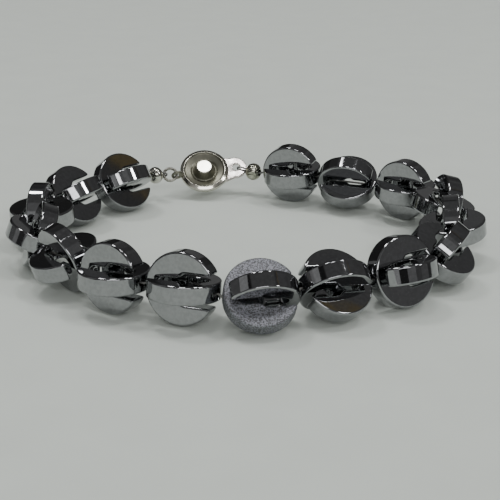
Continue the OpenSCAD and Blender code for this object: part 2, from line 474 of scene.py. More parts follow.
@dataclass(frozen=True)
class HematiteFinish:
    """Hematite: metallic, mottled between two tones, a little wavy and pitted.

    Contrast is how far from the middle of the grain the tones are reached: the less, the harder
    the speckle. Grain is in millimetres, and so are waves_h, pits_h and grain_h, the heights of
    the relief.
    """

    dark: Colour = (0.29, 0.295, 0.302)
    light: Colour = (0.34, 0.345, 0.353)
    grain: float = 0.5
    contrast: float = 0.15
    roughness: tuple[float, float] = (0.04, 0.075)
    waves_h: float = 0.012
    pits_h: float = 0.0016
    grain_h: float = 0.0004

    def material(self, polish: Polish) -> bpy.types.Material:
        """Build the material.

        Args:
            polish: What the material is named after.

        Returns:
            The material.
        """
        nodes = MaterialNodes(f"hematite_{polish.value}")
        grain, waves = nodes.noise(self.grain, 3), nodes.noise(2.6, 0)
        pits = nodes.spread(nodes.cells(0.45), 0.0, 0.12)
        tones = [(0.5 - self.contrast, self.dark), (0.5 + self.contrast, self.light)]
        heights = [(waves, self.waves_h), (pits, self.pits_h), (grain, self.grain_h)]
        return nodes.finished({
            "Base Color": nodes.ramp(grain, tones),
            "Metallic": 1.0,
            "Roughness": nodes.spread(nodes.noise(0.25), 0.35, 0.7, *self.roughness),
            "Normal": nodes.relief(heights),
        })


@dataclass(frozen=True)
class MetalFinish:
    """Plated or bare white metal with tarnish, and where a piece's mark is 0 a darker, rougher look
    whose colour is painted shade.

    Grain is how wide the tarnish's patches are and relief how high, in millimetres.
    """

    name: str
    bright: Colour
    dull: Colour
    roughness: tuple[float, float]
    grain: float
    relief: float
    # Darker colours for points whose mark is 0, and their roughness: the colours are painted shade
    painted_shade: Colour | None = None
    painted_shade_dull: Colour | None = None
    unpolished_roughness: float = 0.4

    def material(self) -> bpy.types.Material:
        """Build the material.

        Returns:
            The material. Where a piece's own mark is 0 it is rougher and has a darker colour that
            is painted shade, if the finish has one.
        """
        nodes = MaterialNodes(self.name)
        tarnish, fine = nodes.noise(self.grain, 3), nodes.noise(self.grain / 2)
        colour = nodes.ramp(tarnish, [(0.38, self.dull), (0.62, self.bright)])
        rough = nodes.spread(tarnish, 0.35, 0.7, *self.roughness[::-1])
        if self.painted_shade:
            # Painted shade: where the mark is 0 the colour blends to the darker tones, and the
            # roughness rises
            mark = nodes.mark(MARK)
            patchy = nodes.ramp(tarnish, [(0.38, self.painted_shade_dull), (0.62, self.painted_shade)])
            colour = nodes.blend(mark, patchy, colour)
            rough = nodes.spread(mark, 0.0, 1.0, self.unpolished_roughness, sum(self.roughness) / 2)
        inputs = {"Base Color": colour, "Metallic": 1.0, "Roughness": rough}
        if self.relief:
            inputs["Normal"] = nodes.relief([(fine, self.relief)])
        return nodes.finished(inputs)


@dataclass(frozen=True)
class ThreadFinish:
    """Grey twisted thread, slightly sheeny."""

    deep: Colour = (0.10, 0.10, 0.095)
    pale: Colour = (0.16, 0.16, 0.152)

    def material(self) -> bpy.types.Material:
        """Build the material.

        Returns:
            The material.
        """
        nodes = MaterialNodes("grey_thread")
        fibre = nodes.noise(0.08)
        tones = nodes.ramp(fibre, [(0.3, self.deep), (0.7, self.pale)])
        relief = nodes.relief([(fibre, 0.02)])
        return nodes.finished({"Base Color": tones, "Roughness": 0.5, "Normal": relief})


HEMATITE = {
    Polish.MIRROR: HematiteFinish(),
    Polish.SPECKLED: HematiteFinish(
        dark=(0.1305, 0.13275, 0.1359), light=(0.3536, 0.3588, 0.39889), grain=0.2, contrast=0.08,
        roughness=(0.46, 0.60), grain_h=0.0045),
}
SILVER = MetalFinish(
    "silver", bright=(0.74, 0.73, 0.68), dull=(0.56, 0.55, 0.48), roughness=(0.08, 0.18),
    grain=0.8, relief=0.004)
DARK_SILVER = MetalFinish(
    "dark_silver", bright=(0.56, 0.56, 0.47), dull=(0.40, 0.40, 0.32), roughness=(0.07, 0.14),
    grain=0.8, relief=0.002)
# Nickel's darker tones go where the mark is 0, in the dish's hollow and over the unmarked eye:
# painted shade
NICKEL = MetalFinish(
    "dull_nickel", bright=(0.72, 0.70, 0.62), dull=(0.60, 0.58, 0.50), roughness=(0.10, 0.20),
    grain=1.6, relief=0.0, painted_shade=(0.26, 0.255, 0.205), painted_shade_dull=(0.2132, 0.2091, 0.1681),
    unpolished_roughness=0.38)
BRIGHT_PLATE = MetalFinish(
    "bright_plate", bright=(0.90, 0.87, 0.83), dull=(0.74, 0.69, 0.65), roughness=(0.22, 0.32),
    grain=1.3, relief=0.001)
TARNISHED = MetalFinish(
    "tarnished_wire", bright=(0.50, 0.49, 0.44), dull=(0.22, 0.21, 0.18), roughness=(0.28, 0.45),
    grain=0.35, relief=0.02)


# The string of beads


@dataclass(frozen=True)
class Lie:
    """How one bead lies, in degrees.

    Bend is the string's turn there, swing the bead's turn away from the string's own direction,
    roll its turn about the string, and tip how far its far end is raised.
    """

    bend: float
    swing: float
    roll: float
    tip: float = 0.0


# From the clasp's left side round the front of the loop
LIES = (
    Lie(25.3, 12, -57, 0),
    Lie(24.8, 0, -57, -0.5),
    Lie(28.1, 1.5, 90.3, -2.5),
    Lie(21, -7, -22, 0),
    Lie(17.4, 0, 106.9, 5),
    Lie(21.2, -2, -4, 2),
    Lie(10.2, -5, -9, 1),
    Lie(31.9, 5, -48.5, 2),
    Lie(4.5, 1.2, 40.9, -7),
    Lie(24.7, -5.2, -17.6, 1),
    Lie(22.6, 3, -55.5, 4.5),
    Lie(16.8, 1.5, 82.2, 3.5),
    Lie(29.6, -7, 14.9, 2),
    Lie(33.1, 2, 89.2, 2.5),
    Lie(3.4, 11, 58.2, 2),
    Lie(17, -7, 85.7, -2),
)


@dataclass
class SlottedDisc:
    """A round disc with a slot from the rim to a bridge, drilled through the bridge.

    In its own frame the disc lies flat round the Z axis, with the bridge towards -X and the
    slot's mouth towards +X. Corner and edge are how far the outline's corners and the faces'
    edges are rounded. Block and block_arc are half the steps and half the width of the square
    of wall that each mouth of the bore takes up, and lip is the rounding of the mouths.
    """

    diameter: float = 10.2
    thickness: float = 2.6
    bridge: float = 1.6
    slot_narrow: float = 2.8
    slot_wide: float = 4.4
    bore: float = 1.2
    corner: float = 0.4
    edge: float = 0.3
    edge_steps: int = 5
    side_steps: int = 88
    block: int = 4
    block_arc: float = 0.78
    lip: float = 0.08
    outline: np.ndarray = field(init=False)
    fine: np.ndarray = field(init=False)

    def __post_init__(self) -> None:
        """Work out the outline."""
        self.fine = softened(self.corners(), self.corner)
        self.outline = self.stations()

    def corners(self) -> np.ndarray:
        """Trace the disc's outline with sharp corners.

        Returns:
            Points from the bridge's middle along the lower rim to the mouth, in along the slot,
            whose step is an S of two quarter rounds, round its closed end, and the same again
            mirrored on the upper side.
        """
        rim_steps, step_steps, end_steps = 400, 24, 90
        r = self.diameter / 2
        narrow, wide = self.slot_narrow / 2, self.slot_wide / 2
        step = (wide - narrow) / 2
        end = self.bridge - r + narrow
        mouth = math.sqrt(r * r - wide * wide)
        rim = arc((0, 0), r, 180, 360 - math.degrees(math.atan2(wide, mouth)), rim_steps)
        slot = np.vstack([
            [[mouth, -wide]],
            arc((step, step - wide), step, 270, 180, step_steps),
            arc((-step, -narrow - step), step, 0, 90, step_steps),
            arc((end, 0), narrow, 270, 180, end_steps),
        ])
        lower = np.vstack([rim, slot[1:]])
        upper = lower[-2:0:-1] * [1, -1]
        return np.vstack([lower, upper])

    def stations(self) -> np.ndarray:
        """Pick the outline's points so that the rim and the slot have as many each.

        Returns:
            Points from the bridge's middle: rim to the lower tip, slot to its closed end, slot
            to the upper tip, and rim back. They are denser at the tips, and evenly wide by the
            bore, where a square block of the wall is cut out.
        """
        ring = np.vstack([self.fine, self.fine[:1]])
        along = np.concatenate([[0], np.cumsum(np.linalg.norm(np.diff(ring, axis=0), axis=1))])
        half = along[-1] / 2
        # The lower tip is the point farthest towards the mouth and a little downwards
        tip = along[np.argmax(np.where(ring[:, 1] < 0, ring[:, 0] - ring[:, 1] * 0.2, -np.inf))]
        rim = self.spaced(tip)
        slot = half - self.spaced(half - tip)[::-1]
        lower = np.concatenate([rim, slot[1:]])
        whole = np.concatenate([lower, (2 * half - lower[::-1])[1:-1]])
        return resampled(ring, whole)

    @property
    def block_rows(self) -> np.ndarray:
        """Rows of the wall's grid that bound the block cut out for the bore."""
        return self.edge_steps + 1 + np.arange(self.block + 1)

    def spaced(self, length: float) -> np.ndarray:
        """Give distances from a bore's middle to a tip.

        Args:
            length: The whole distance.

        Returns:
            Distances in a few wide steps, then even ones, then small ones.
        """
        tight, few = 0.6, 12
        wide = np.linspace(0, self.block_arc, self.block + 1)
        even = np.linspace(self.block_arc, length - tight, self.side_steps - self.block - few + 1)
        small = np.linspace(length - tight, length, few + 1)
        return np.concatenate([wide, even[1:], small[1:]])

    def shape(self) -> Shape:
        """Build the disc.

        The wall is the outline carried from the lower to the upper edge, with a quarter round
        on each edge: at angle t of the round the outline moves in by edge * (1 - cos t) and up
        by edge * sin t. The faces are ladders of rungs from the rim to the slot.

        Returns:
            The closed disc with its exact normals.
        """
        normal = side_normals(self.outline)
        count = len(self.outline)
        rounds = np.radians(np.linspace(0, 90, self.edge_steps + 1))
        straight = self.thickness / 2 - self.edge
        middle_rows = np.linspace(-self.block_arc, self.block_arc, self.block + 1)
        rows = np.concatenate([[-straight], middle_rows, [straight]])
        flat = np.zeros(len(rows))
        inset = self.edge * (1 - np.cos(np.concatenate([rounds[:0:-1], flat, rounds[1:]])))
        curve = self.edge * np.sin(rounds)
        height = np.concatenate([-straight - curve[:0:-1], rows, straight + curve[1:]])
        lean = np.concatenate([-rounds[:0:-1], flat, rounds[1:]])
        wall = np.empty((count, len(height), 3))
        wall[..., :2] = self.outline[:, None, :] - normal[:, None, :] * inset[:, None]
        wall[..., 2] = height
        facing = np.empty_like(wall)
        facing[..., :2] = normal[:, None, :] * np.cos(lean)[:, None]
        facing[..., 2] = np.sin(lean)
        index = numbered(count, len(height))
        points, normals = [wall.reshape(-1, 3)], [facing.reshape(-1, 3)]
        keep = np.ones((count, len(height) - 1), bool)
        faces = []
        loops = []
        for middle in (0, count // 2):
            cut = np.arange(middle - self.block, middle + self.block) % count
            keep[np.ix_(cut, self.block_rows[:-1])] = False
            loops.append(self.block_edge(index, middle))
        quads = grid_faces(index, close_first=True).reshape(count, len(height) - 1, 4)
        faces.append(quads[keep])
        start = index.size
        for level, sign in ((len(height) - 1, 1), (0, -1)):
            inner, ladder = self.ladder(wall[:, level], index[:, level], start)
            points.append(inner)
            normals.append(np.broadcast_to([0.0, 0.0, sign], inner.shape))
            faces += [f[:, ::sign] for f in ladder]
            start += len(inner)
        bore_points, bore_normals, bore_faces = self.bored(wall.reshape(-1, 3), loops, start)
        points.append(bore_points)
        normals.append(bore_normals)
        return Shape(np.vstack(points), faces + bore_faces, np.vstack(normals))

    def ladder(self, edge: np.ndarray, index: np.ndarray,
               start: int) -> tuple[np.ndarray, list[np.ndarray]]:
        """Fill a face with rungs from the rim's edge to the slot's.

        Args:
            edge: The face's edge points.
            index: Their vertex numbers.
            start: The first free vertex number.

        Returns:
            The points between the ends of the rungs, and the faces.
        """
        n, between = self.side_steps, 5
        rung = np.arange(-n, n + 1)
        rim, slot = rung % len(edge), 2 * n - rung
        share = (np.arange(1, between) / between)[:, None]
        inner = edge[rim[1:-1], None] * (1 - share) + edge[slot[1:-1], None] * share
        made = numbered(*inner.shape[:2], start)
        table = np.column_stack([index[rim[1:-1]], made, index[slot[1:-1]]])
        tips = []
        for row, tip, order in ((table[0], index[rim[0]], 1), (table[-1], index[rim[-1]], -1)):
            pairs = np.stack([row[:-1], row[1:]], axis=1)[:, ::order]
            tips.append(np.column_stack([np.full(len(pairs), tip), pairs]))
        return inner.reshape(-1, 3), [grid_faces(table), np.vstack(tips)]

    def block_edge(self, index: np.ndarray, middle: int) -> np.ndarray:
        """Walk round the block that is cut out of the wall for the bore.

        Args:
            index: The wall's vertex numbers.
            middle: The outline's point in the block's middle.

        Returns:
            The vertex numbers in order.
        """
        b, count = self.block, len(index)
        along = np.arange(middle - b, middle + b + 1) % count
        up = self.block_rows
        return np.concatenate([
            index[along[:-1], up[0]], index[along[-1], up[:-1]],
            index[along[:0:-1], up[-1]], index[along[0], up[:0:-1]]])

    def bored(self, wall: np.ndarray, loops: list[np.ndarray],
              start: int) -> tuple[np.ndarray, np.ndarray, list[np.ndarray]]:
        """Build the bore and the patches round its two mouths.

        Each patch goes from its block's edge to a circle on the wall, over a small rounded lip
        and into the bore. Between the two innermost circles the bore is straight.

        Args:
            wall: The wall's points.
            loops: Vertex numbers round the blocks at the rim and at the slot's end.
            start: The first free vertex number.

        Returns:
            New points, their normals and the faces.
        """
        fine_normal = side_normals(self.fine)
        near = (np.abs(self.fine[:, 1]) < 1.0) & (self.fine[:, 0] < 0)
        outer_half = self.fine[:, 0] < -self.diameter / 2 + self.bridge / 2
        points, normals, faces, last = [], [], [], []
        r, first_turn = self.bore / 2, 0.3 * self.lip
        sink = (0, 0, first_turn, self.lip)
        tilt = np.radians([0, 0, 45, 90])
        for loop, half in zip(loops, (outer_half, ~outer_half)):
            side = near & half
            order = np.argsort(self.fine[side, 1])
            y, x = self.fine[side, 1][order], self.fine[side, 0][order]
            nx, ny = fine_normal[side, 0][order], fine_normal[side, 1][order]
            block = wall[loop][:, 1:]
            spoke = unit(block)
            lip_edge = spoke * (r + self.lip)
            rings = [(block + lip_edge) / 2, lip_edge, spoke * (r + first_turn), spoke * r]
            ring_numbers = [loop]
            for ring, depth, t in zip(rings, sink, tilt):
                out = np.stack([np.interp(ring[:, 0], y, n) for n in (nx, ny)], axis=1)
                place = np.column_stack([np.interp(ring[:, 0], y, x), ring])
                place[:, 0] -= depth * np.sign(out[:, 0])
                facing = np.column_stack([out, np.zeros(len(out))]) * math.cos(t)
                facing[:, 1:] -= spoke * math.sin(t)
                points.append(place)
                normals.append(facing)
                ring_numbers.append(np.arange(start, start + len(ring)))
                start += len(ring)
            faces.append(grid_faces(np.stack(ring_numbers).T, close_first=True))
            last.append(ring_numbers[-1])
        match = (2 * self.block - np.arange(len(last[0]))) % len(last[0])
        faces.append(grid_faces(np.stack([last[0], last[1][match]]).T, close_first=True))
        return np.vstack(points), np.vstack(normals), faces


@dataclass
class BeadString:
    """Sixteen beads laid along the string, each two discs pushed together at right angles.

    Pitch is how far apart the beads' middles are, shift how far the two discs of a bead are
    apart along the string, and hang the least height of a bead's middle. Bevel is the disc's
    edge in the solid, which is what touches the surface.
    """

    disc: SlottedDisc = field(default_factory=SlottedDisc)
    first: tuple[float, float] = (-21.33, 21.56)
    first_heading: float = -159.7
    pitch: float = 10.55
    shift: float = 0.1
    hang: float = 4.9
    bevel: float = 0.2
    speckled: tuple[str, ...] = ("bead_08_disc_a",)

    @property
    def reach(self) -> float:
        """Distance from a bead's middle to the mouths of its bore."""
        return self.disc.diameter / 2 + self.shift / 2

    def lean_height(self, upright: float) -> float:
        """Height of the middle of a disc that touches the surface.

        Args:
            upright: How much of the disc's own axis points up, 0 for a disc that stands on edge.

        Returns:
            The height.
        """
        r, half = self.disc.diameter / 2, self.disc.thickness / 2
        flat = abs(upright)
        steep = math.sqrt(1 - flat * flat)
        return max(r * steep + (half - self.bevel) * flat, (r - self.bevel) * steep + half * flat)

    def places(self) -> list[Place]:
        """Walk along the string, which turns by each bead's bend.

        Returns:
            Each bead's place, with its X along the string.
        """
        places = []
        at = np.array([*self.first, 0.0])
        heading = self.first_heading
        for lie in LIES:
            yaw = heading + lie.bend / 2 + lie.swing
            rotation = turn("z", yaw) @ turn("y", -lie.tip) @ turn("x", lie.roll)
            lean = max(self.lean_height(upright) for upright in rotation[2, 1:])
            height = max(self.hang, lean + self.shift / 2 * abs(rotation[2, 0]))
            places.append(Place(rotation, np.array([at[0], at[1], height])))
            heading += lie.bend
            a = math.radians(heading)
            at = at + self.pitch * np.array([math.cos(a), math.sin(a), 0.0])
        return places

    def build(self, finishes: dict[Polish, bpy.types.Material]) -> list[bpy.types.Object]:
        """Make all the discs.

        Args:
            finishes: The material of each polish.

        Returns:
            The discs' objects.
        """
        master = self.disc.shape()
        made = []
        for number, place in enumerate(self.places(), 1):
            halves = {
                "a": place.then_inside(turn("x", 90), -self.shift / 2),
                "b": place.then_inside(turn("z", 180), self.shift / 2),
            }
            for half, where in halves.items():
                node = f"bead_{number:02d}_disc_{half}"
                polish = Polish.SPECKLED if node in self.speckled else Polish.MIRROR
                disc = master.placed(where).piece(f"hematite_{node}", finishes[polish])
                made.append(settled(disc, "hematite", node))
        return made


def settled(piece: bpy.types.Object, slot: str, *nodes: str) -> bpy.types.Object:
    """Make a piece ride on the bracelet, log its material slot, and let it stand for CAD nodes.

    Args:
        piece: The piece.
        slot: Name of its material slot, which goes to the log.
        nodes: The nodes it stands for, if any.

    Returns:
        The piece.
    """
    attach(piece, "root")
    if nodes:
        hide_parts(*nodes)
    triangles = sum(len(p.vertices) - 2 for p in piece.data.polygons)
    LOG.info("%s: %d triangles, slot %s", piece.name, triangles, slot)
    return piece


def marked(piece: bpy.types.Object, values: np.ndarray) -> None:
    """Give each point of a piece the number that its finish reads."""
    mark = piece.data.attributes.new(MARK, "FLOAT", "POINT")
    mark.data.foreach_set("value", values.astype(np.float32))


# The clasp


@dataclass
class SilverBead:
    """A small drilled silver bead, plain or with slanting flutes round it.

    Slant is the flutes' turn in radians for each millimetre along the bore. A flat is left
    without flutes round each mouth, and fade is how softly they start there.
    """

    node: str
    diameter: float
    length: float
    bore: float = 0.6
    flutes: int = 12
    depth: float = 0.07
    slant: float = 0.9
    flat: float = 0.1
    fade: float = 1.5
    soft: float = 0.06
    around: int = 144

    def shape(self, middle: np.ndarray, axis: np.ndarray) -> Shape:
        """Build the bead on an axis.

        The profile is a half round as long as the bead, closed through the bore. Carried round
        the axis, its distance from the axis sinks by depth * (1 - |sin(flutes * angle / 2 +
        slant * x)|) where it is widest, which leaves rounded lobes with sharp valleys.

        Args:
            middle: The bead's middle.
            axis: Unit direction of its bore.

        Returns:
            The closed shape.
        """
        half, r = self.length / 2, self.diameter / 2
        cut = math.degrees(math.acos(max(-1.0, (self.bore - r + half) / half)))
        ball = arc((r - half, 0), half, -cut, cut, 40)[:, ::-1]
        corners = np.vstack([ball, [[ball[-1, 0], self.bore], [ball[0, 0], self.bore]]])
        profile = softened(corners[::-1], self.soft, 72)[::-1]
        a = np.linspace(0, 2 * np.pi, self.around, endpoint=False)
        x = np.tile(profile[:, 0], (self.around, 1))
        radius = np.tile(profile[:, 1], (self.around, 1))
        wave = np.abs(np.sin(self.flutes * a[:, None] / 2 + self.slant * x))
        inner = self.bore + self.flat
        outer = np.clip((radius - inner) / (r - inner), 0, 1)
        radius = radius - self.depth * (1 - wave) * outer ** self.fade
        body = np.stack([x, radius * np.cos(a)[:, None], radius * np.sin(a)[:, None]], axis=-1)
        index = numbered(self.around, len(profile))
        side = unit(np.cross([0, 0, 1], axis))
        rotation = np.column_stack([axis, side, np.cross(axis, side)])
        faces = grid_faces(index, True, True)
        return Shape(body.reshape(-1, 3), [faces]).placed(Place(rotation, middle))


@dataclass
class Clasp:
    """Press stud: a dish with a sloping rim and a boss, its eye and ring, and the tab behind it.

    Along, out and height are the dish's place from the first bead, along and away from the line
    to the last bead. Lean is how far the dish's face tips back from level, aside how far it
    turns to face left, and dish_turn, tab_turn and tab_pull_turn are turns in its own plane.
    Slope is the rim's angle. Ring_swing and ring_tip are how the ring lies in the eye. All
    angles are in degrees. Names in _d, _r, _w, _h and _t are diameters, radii, widths, heights
    and thicknesses, and names in _x and _z are places in the clasp's frame.
    """

    along: float = 15.05
    out: float = 5.35
    height: float = 5.0
    lean: float = 50.0
    aside: float = 8.0
    dish_turn: float = 12.0
    tab_turn: float = 12.0
    dish_d: float = 8.7
    crest: float = 0.15
    slope: float = 29.0
    slope_w: float = 0.65
    skirt: float = 0.85
    floor_z: float = -0.62
    boss_h: float = 1.05
    boss_d: float = 2.85
    socket_r: float = 1.0
    stud_r: float = 0.9
    soft: float = 0.05
    wire: float = 0.5
    eye_r: float = 0.85
    ring_r: float = 1.15
    ring_slack: float = 0.15
    ring_swing: float = 16.0
    ring_tip: float = 15.0
    eye_z: float = -0.2
    plate_d: float = 7.8
    plate_t: float = 0.5
    plate_edge: float = 0.14
    plate_gap: float = 0.1
    hole_x: float = 5.9
    hole_d: float = 1.4
    tab_end_x: float = 5.65
    tab_end_r: float = 2.15
    tab_root_x: float = 2.5
    tab_root_half: float = 2.75
    tab_pull_turn: float = -34.0

    def frame_at(self, spin: float, places: list[Place]) -> Place:
        """Find the clasp's own frame.

        Args:
            spin: A turn in the dish's plane, in degrees.
            places: The beads' places.

        Returns:
            The frame's place, with its Z out of the dish's face.
        """
        first, last = places[0].origin, places[-1].origin
        chord = (last - first) * [1, 1, 0]
        ahead = unit(chord)
        side = np.array([-ahead[1], ahead[0], 0.0])
        foot = first * [1, 1, 0] + self.along * ahead + self.out * side
        yaw = math.degrees(math.atan2(ahead[1], ahead[0])) - self.aside
        rotation = turn("z", yaw) @ turn("x", 90 - self.lean) @ turn("z", spin)
        return Place(rotation, foot + [0, 0, self.height])

    @property
    def plate_z(self) -> float:
        """Height of the back plate's underside in the clasp's frame."""
        return self.under - self.plate_gap - self.plate_t

    @property
    def under(self) -> float:
        """Height of the dish's underside in the clasp's frame."""
        return self.floor_z - 0.4

    @property
    def eye_x(self) -> float:
        """Distance of the eye's middle from the dish's, along its X."""
        return -(self.dish_d / 2 + self.eye_r - self.wire / 2)

    def dish(self) -> Shape:
        """Turn the dish from one profile.

        It runs from the socket's roof under the boss, out along the underside, up the skirt,
        up the rim's outer slope to its crest, down into the hollow ring, up the boss's flared
        side and to its flat top.

        Returns:
            The closed dish in the clasp's frame.
        """
        edge, top, floor = self.dish_d / 2, self.boss_d / 2, self.floor_z
        inner = edge - self.slope_w
        low = self.crest - self.slope_w * math.tan(math.radians(self.slope))
        roof = self.boss_h - 0.5
        socket = [[0, roof], [self.socket_r - 0.05, roof], [self.socket_r, roof - 0.1],
                  [self.socket_r, self.under]]
        skirt = [[edge - 0.45, self.under], [edge - 0.05, -self.skirt],
                 [edge, -self.skirt + 0.2], [edge, low]]
        rim = [[inner, self.crest], [inner - 0.08, self.crest - 0.02], [inner - 0.2, -0.08]]
        hollow = [[2.45, floor + 0.24], [2.1, floor], [1.9, floor + 0.17], [1.66, floor + 0.8]]
        boss = [[top + 0.06, self.boss_h - 0.35], [top, self.boss_h - 0.06],
                [top - 0.06, self.boss_h], [0, self.boss_h]]
        half = np.array(socket + skirt + rim + hollow + boss)
        mirrored = half[-2:0:-1] * [-1, 1]
        fine, each, around = 1200, 5, 128
        soft = softened(np.vstack([half, mirrored]), self.soft, fine)
        right = soft[soft[:, 0] > 1e-4]
        # The profile starts where the right half was cut from the left, at the socket's roof
        jump = np.argmax(np.linalg.norm(np.diff(np.vstack([right, right[:1]]), axis=0), axis=1))
        run = np.roll(right, -(jump + 1), axis=0)
        profile = np.vstack([[[0, run[0, 1]]], run[::each], [[0, run[-1, 1]]]])
        return turned(profile, around)

    def polished(self, points: np.ndarray) -> np.ndarray:
        """Tell which of the dish's points keep their polish and plain colour.

        Args:
            points: Points in the clasp's frame.

        Returns:
            1 on the rim and the boss's top, 0 in the hollow between, where the colour is painted
            shade, and a short blend.
        """
        blend = 0.06
        radius = np.hypot(points[:, 0], points[:, 1])
        rim = (radius - (self.dish_d / 2 - self.slope_w - 0.04)) / blend
        top = (points[:, 2] - (self.boss_h - 0.12)) / blend
        return np.clip(np.maximum(rim, top), 0, 1)

    def eye(self) -> Shape:
        """Build the eye at the dish's edge: a small wire loop, edge on, with a neck of solder.

        The neck's radius at share t of its length is 0.33 - 0.12 * t millimetres.

        Returns:
            The loop and the neck, which run into each other and the dish.
        """
        loop = circle(self.eye_r, 48)
        level = np.full(len(loop), 0.0)
        path = np.column_stack([loop[:, 0] + self.eye_x, level, loop[:, 1] + self.eye_z])
        wire = swept(path, circle(self.wire / 2, 16), closed=True)
        steps, around = 12, 20
        t = np.linspace(0, 1, steps)
        start = 0.35 - self.dish_d / 2
        neck = np.column_stack([start - 0.75 * t, 0 * t, 0 * t + self.eye_z])
        solder = swept(neck, circle(1.0, around))
        swell = np.repeat(0.33 - 0.12 * t, around)[:, None]
        body = solder.points[:steps * around]
        centre = np.repeat(neck, around, axis=0)
        solder.points[:steps * around] = centre + (body - centre) * swell
        return wire.joined(solder)

    def tab(self) -> Shape:
        """Build the back plate and its pear-shaped tab.

        Seen from the hole's middle, the edge in each direction is the farthest of the round
        plate, the taper and the tab's round end. Rings go from the hole to that edge: over the
        top, round the edge, back below, and up through the hole.

        Returns:
            The plate, and the stud that stands on it in the boss's socket.
        """
        count = 240
        a = np.linspace(0, 2 * np.pi, count, endpoint=False)
        way = np.stack([np.cos(a), np.sin(a)], axis=1)
        hub = np.array([self.hole_x, 0.0])
        reach = self.edge_from(hub, way)
        # Ripples of the edge that are finer than the keep-th go out, which rounds its corners
        keep = 22.0
        order = np.minimum(np.arange(count), count - np.arange(count))
        reach = np.fft.ifft(np.fft.fft(reach) * np.exp(-0.5 * (order / keep) ** 2)).real
        hole, t, soft = self.hole_d / 2, self.plate_t, self.plate_edge
        q = np.linspace(0, np.pi / 2, 4)
        rounding, rise = soft * (1 - np.cos(q)), soft * np.sin(q)
        share = np.linspace(0, 1, 7)[1:-1]
        around_hole = [np.full(count, hole + r) for r in rounding]
        around_edge = [reach - r for r in rounding]
        between = [(hole + soft) * (1 - s) + (reach - soft) * s for s in share]
        top = around_hole + between + around_edge[::-1]
        above, below = t - soft + rise, soft - rise
        flat = np.full(len(share), t)
        level = np.concatenate([above, flat, above[::-1], below, 0 * flat, below[::-1]])
        distance = np.stack(top + top[::-1], axis=1)
        z = np.broadcast_to(level + self.plate_z, distance.shape)
        xy = hub + way[:, None, :] * distance[..., None]
        body = np.concatenate([xy, z[..., None]], axis=-1)
        index = numbered(*body.shape[:2])
        faces = grid_faces(index, True, True)[:, ::-1]
        plate = Shape(body.reshape(-1, 3), [faces])
        low, high, r, chamfer = self.plate_z + t - 0.05, self.boss_h - 0.6, self.stud_r, 0.2
        profile = [[0, low], [r, low], [r, high - chamfer], [r - chamfer, high], [0, high]]
        return plate.joined(turned(np.array(profile), 40))

    def edge_from(self, hub: np.ndarray, way: np.ndarray) -> np.ndarray:
        """Find the edge of the plate and its tab, seen from a point inside it.

        Args:
            hub: The point.
            way: Unit directions from it.

        Returns:
            The distance in each direction to the farthest of plate, taper and round end.
        """
        found = []
        for middle_x, radius in ((0.0, self.plate_d / 2), (self.tab_end_x, self.tab_end_r)):
            off = hub - [middle_x, 0.0]
            b = way @ off
            inside = b * b - off @ off + radius * radius
            found.append(np.where(inside > 0, -b + np.sqrt(np.maximum(inside, 0)), 0))
        root, run = self.tab_root_half, self.tab_end_x - self.tab_root_x
        lean = math.asin(self.tab_end_r / math.hypot(run, root)) - math.atan2(root, run)
        meet_x = self.tab_end_x + self.tab_end_r * math.sin(lean)
        meet_y = self.tab_end_r * math.cos(lean)
        lower = [[self.tab_root_x, -root], [meet_x, -meet_y]]
        taper = np.array(lower + [[x, -y] for x, y in lower[::-1]])
        edge = np.roll(taper, -1, axis=0) - taper
        across = np.stack([edge[:, 1], -edge[:, 0]], axis=1)
        speed = way @ across.T
        room = ((taper - hub) * across).sum(axis=1)
        with np.errstate(divide="ignore"):
            hit = np.where(speed > 1e-9, room / speed, np.inf)
        found.append(hit.min(axis=1))
        return np.max(found, axis=0)

    def ring(self, place: Place) -> Shape:
        """Build the wire ring, which is lightly uneven, and whose ends meet at a fine split.

        Args:
            place: The dish's place.

        Returns:
            The closed ring where it lies in the eye.
        """
        start, uneven = 70, 0.03
        a = np.radians(np.linspace(start, start + 356, 90))
        x, y = self.ring_r * np.cos(a), self.ring_r * np.sin(a)
        line = np.column_stack([x - self.ring_r - self.ring_slack, y, uneven * np.sin(a / 2)])
        turned_in = turn("z", -self.ring_swing) @ turn("x", self.ring_tip)
        inside = place.then_inside(turned_in, self.eye_x, z=self.eye_z)
        return swept(line, circle(self.wire / 2, 20)).placed(inside)


@dataclass(frozen=True)
class ThreadEnd:
    """One end of the string: its silver bead's middle and axis, and the thread's points there."""

    middle: np.ndarray
    axis: np.ndarray
    exit: np.ndarray
    loop: np.ndarray


